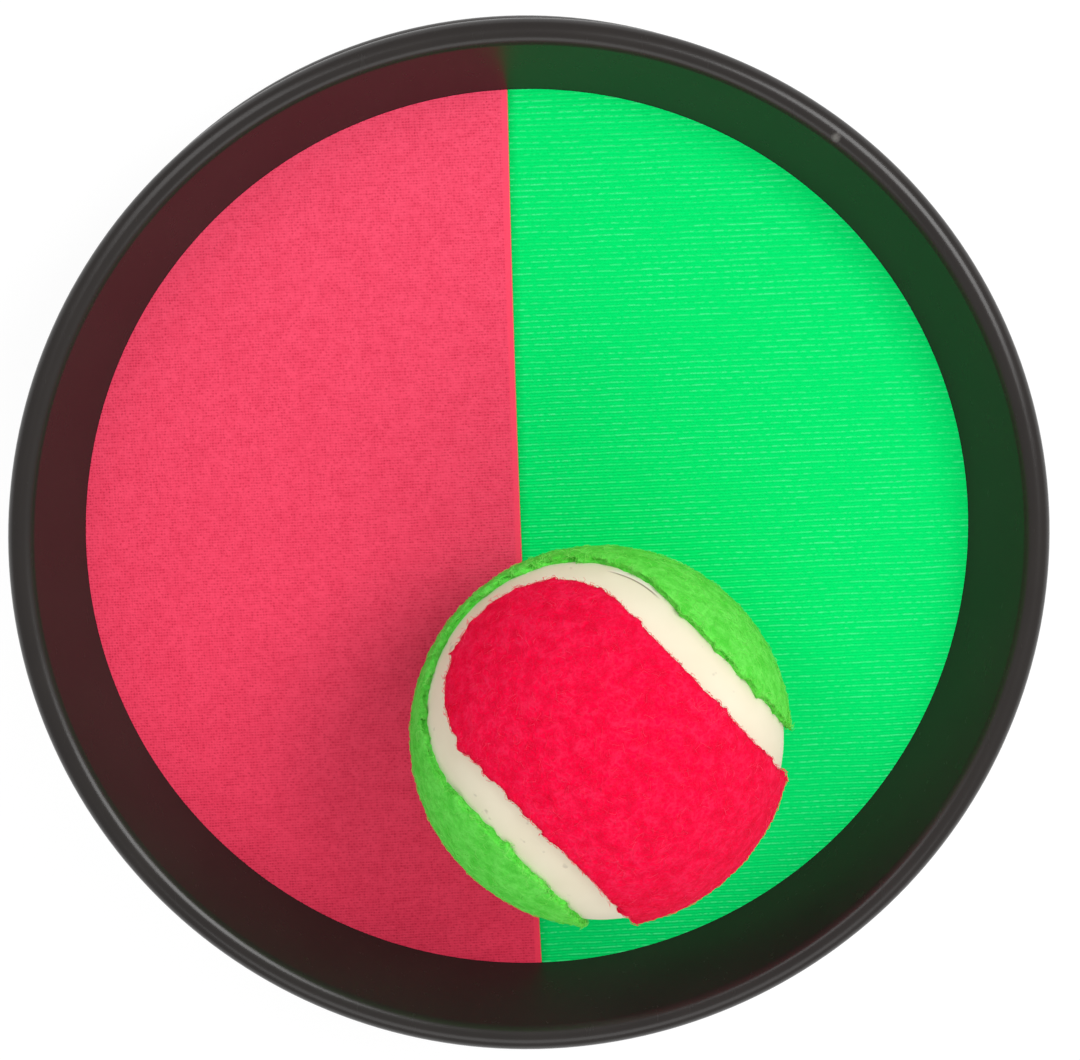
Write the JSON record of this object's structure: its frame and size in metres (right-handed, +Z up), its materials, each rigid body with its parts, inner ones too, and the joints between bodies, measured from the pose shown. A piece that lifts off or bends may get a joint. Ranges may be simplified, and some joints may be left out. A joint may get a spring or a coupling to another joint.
{
  "type": "hook and loop catch set",
  "caption": "Catch set of round dished hand boards with cloth faces and a back strap, stacked flat, and a felt covered ball that sticks to the cloth",
  "frame": {"origin": "middle of the lower board's foot ring, on the floor", "axes": "+Z up out of the catching faces, +X to the right towards the green half of the face, +Y to the far side; the split of the face leans 2.2 degrees left of +Y"},
  "size_m": [0.1846, 0.1846, 0.1095],
  "materials": {
    "black_plastic": "glossy injection moulded black",
    "pink_cloth": "short pile loop cloth, pink to crimson",
    "green_cloth": "finely ribbed loop cloth, bright green",
    "webbing": "black woven webbing",
    "tape": "black hook and loop tape",
    "rubber": "bare cream rubber, matte",
    "red_felt": "red felt, slightly fuzzy",
    "lime_felt": "lime green felt"
  },
  "bodies": {
    "root": {"lower_shell": "black_plastic", "lower_pink_cloth": "pink_cloth", "lower_green_cloth": "green_cloth", "lower_hand_strap": "webbing", "lower_strap_hook_patch": "tape", "lower_strap_loop_patch": "tape", "upper_shell": "black_plastic", "upper_pink_cloth": "pink_cloth", "upper_green_cloth": "green_cloth", "upper_hand_strap": "webbing", "upper_strap_hook_patch": "tape", "upper_strap_loop_patch": "tape", "ball_core": "rubber", "ball_red_felt": "red_felt", "ball_lime_felt": "lime_felt"}
  },
  "joints": []
}
